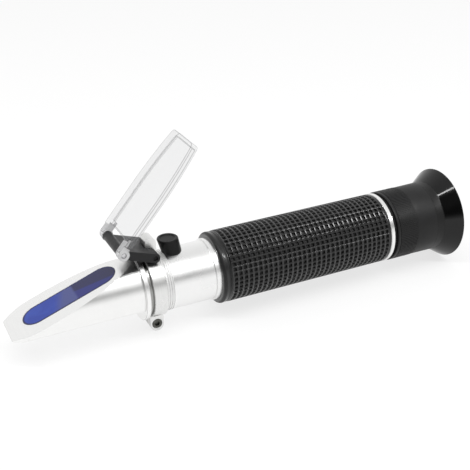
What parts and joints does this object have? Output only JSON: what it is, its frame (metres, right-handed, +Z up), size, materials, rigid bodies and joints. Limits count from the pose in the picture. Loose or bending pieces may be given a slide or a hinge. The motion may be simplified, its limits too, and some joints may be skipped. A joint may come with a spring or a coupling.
{
  "type": "honey refractometer",
  "caption": "Hand-held refractometer with a sloping prism face, a hinged clear daylight plate, a knurled grip and a focusing eyepiece.",
  "frame": {"origin": "centre of the eyecup's rear rim, on the optical axis", "axes": "+X along the optical axis out of the eyepiece towards the eye, +Z up through the hinge ear and the calibration cap, +Y to the user's left when looking through it"},
  "size_m": [0.1967, 0.0398, 0.0788],
  "materials": {
    "satin_aluminium": "satin, finely brushed around the axis",
    "prism_glass": "polished, looks blue",
    "seal": "thin dark blue cement line",
    "black_arm": "black satin coat",
    "black_steel": "black oxide",
    "steel": "turned",
    "brass": "turned",
    "clear_plastic": "moulded clear plastic, frosted at the edges",
    "black_rubber": "matte",
    "gloss_black": "glossy, moulded",
    "matte_black": "matte",
    "black_anodised": "matte black inside the barrel",
    "lens_glass": "polished and coated"
  },
  "bodies": {
    "barrel": {"prism_housing": "satin_aluminium", "main_prism": "prism_glass", "prism_gasket": "seal", "barrel_tube": "satin_aluminium", "clamp_ring": "satin_aluminium", "clamp_screw": "black_steel", "clamp_nut": "steel", "arm_pin": "steel", "calibration_bush": "brass", "objective_cell": "black_anodised", "objective_lens": "lens_glass", "objective_ring": "black_anodised", "baffle_ring": "black_anodised", "reticle_cell": "black_anodised", "reticle_glass": "lens_glass", "reticle_ring": "black_anodised", "rubber_grip": "black_rubber", "trim_ring": "satin_aluminium", "eyepiece_sleeve": "matte_black", "focus_o_ring": "black_rubber"},
    "arm": {"hinge_arm": "black_arm", "lid_pin": "steel"},
    "plate": {"daylight_plate": "clear_plastic"},
    "cap": {"calibration_cap": "black_rubber"},
    "cal_screw": {"calibration_screw": "brass"},
    "lens_carrier": {"lens_cell": "black_anodised", "field_lens": "lens_glass", "lens_spacer": "black_anodised", "eye_lens": "lens_glass", "lens_retainer": "matte_black"},
    "focus": {"focus_ring": "gloss_black", "eyecup": "gloss_black"}
  },
  "joints": [
    {"name": "arm_pivot", "type": "hinge", "parent": "barrel", "child": "arm", "pos_m": [-0.138, 0, 0.0146], "axis": [0, -1, 0], "range_deg": [0, 30.85]},
    {"name": "plate_hinge", "type": "hinge", "parent": "arm", "child": "plate", "pos_m": [-0.1515, 0, 0.0206], "axis": [0, -1, 0], "range_deg": [0, 120.29]},
    {"name": "focus_slide", "type": "slide", "parent": "barrel", "child": "lens_carrier", "axis": [1, 0, 0], "range_m": [-0.0012, 0.0012]},
    {"name": "focus_turn", "type": "hinge", "parent": "lens_carrier", "child": "focus", "pos_m": [-0.02, 0, 0], "axis": [1, 0, 0], "range_deg": [-120, 120]},
    {"name": "cap_pull", "type": "slide", "parent": "barrel", "child": "cap", "axis": [0, 0, 1], "range_m": [0, 0.01]},
    {"name": "calibration_turn", "type": "hinge", "parent": "barrel", "child": "cal_screw", "pos_m": [-0.1285, 0, 0.012], "axis": [0, 0, 1], "range_deg": [-180, 180]}
  ],
  "couplings": [
    {"joint": "focus_turn", "follows": "focus_slide", "rad_per_m": 1745}
  ]
}
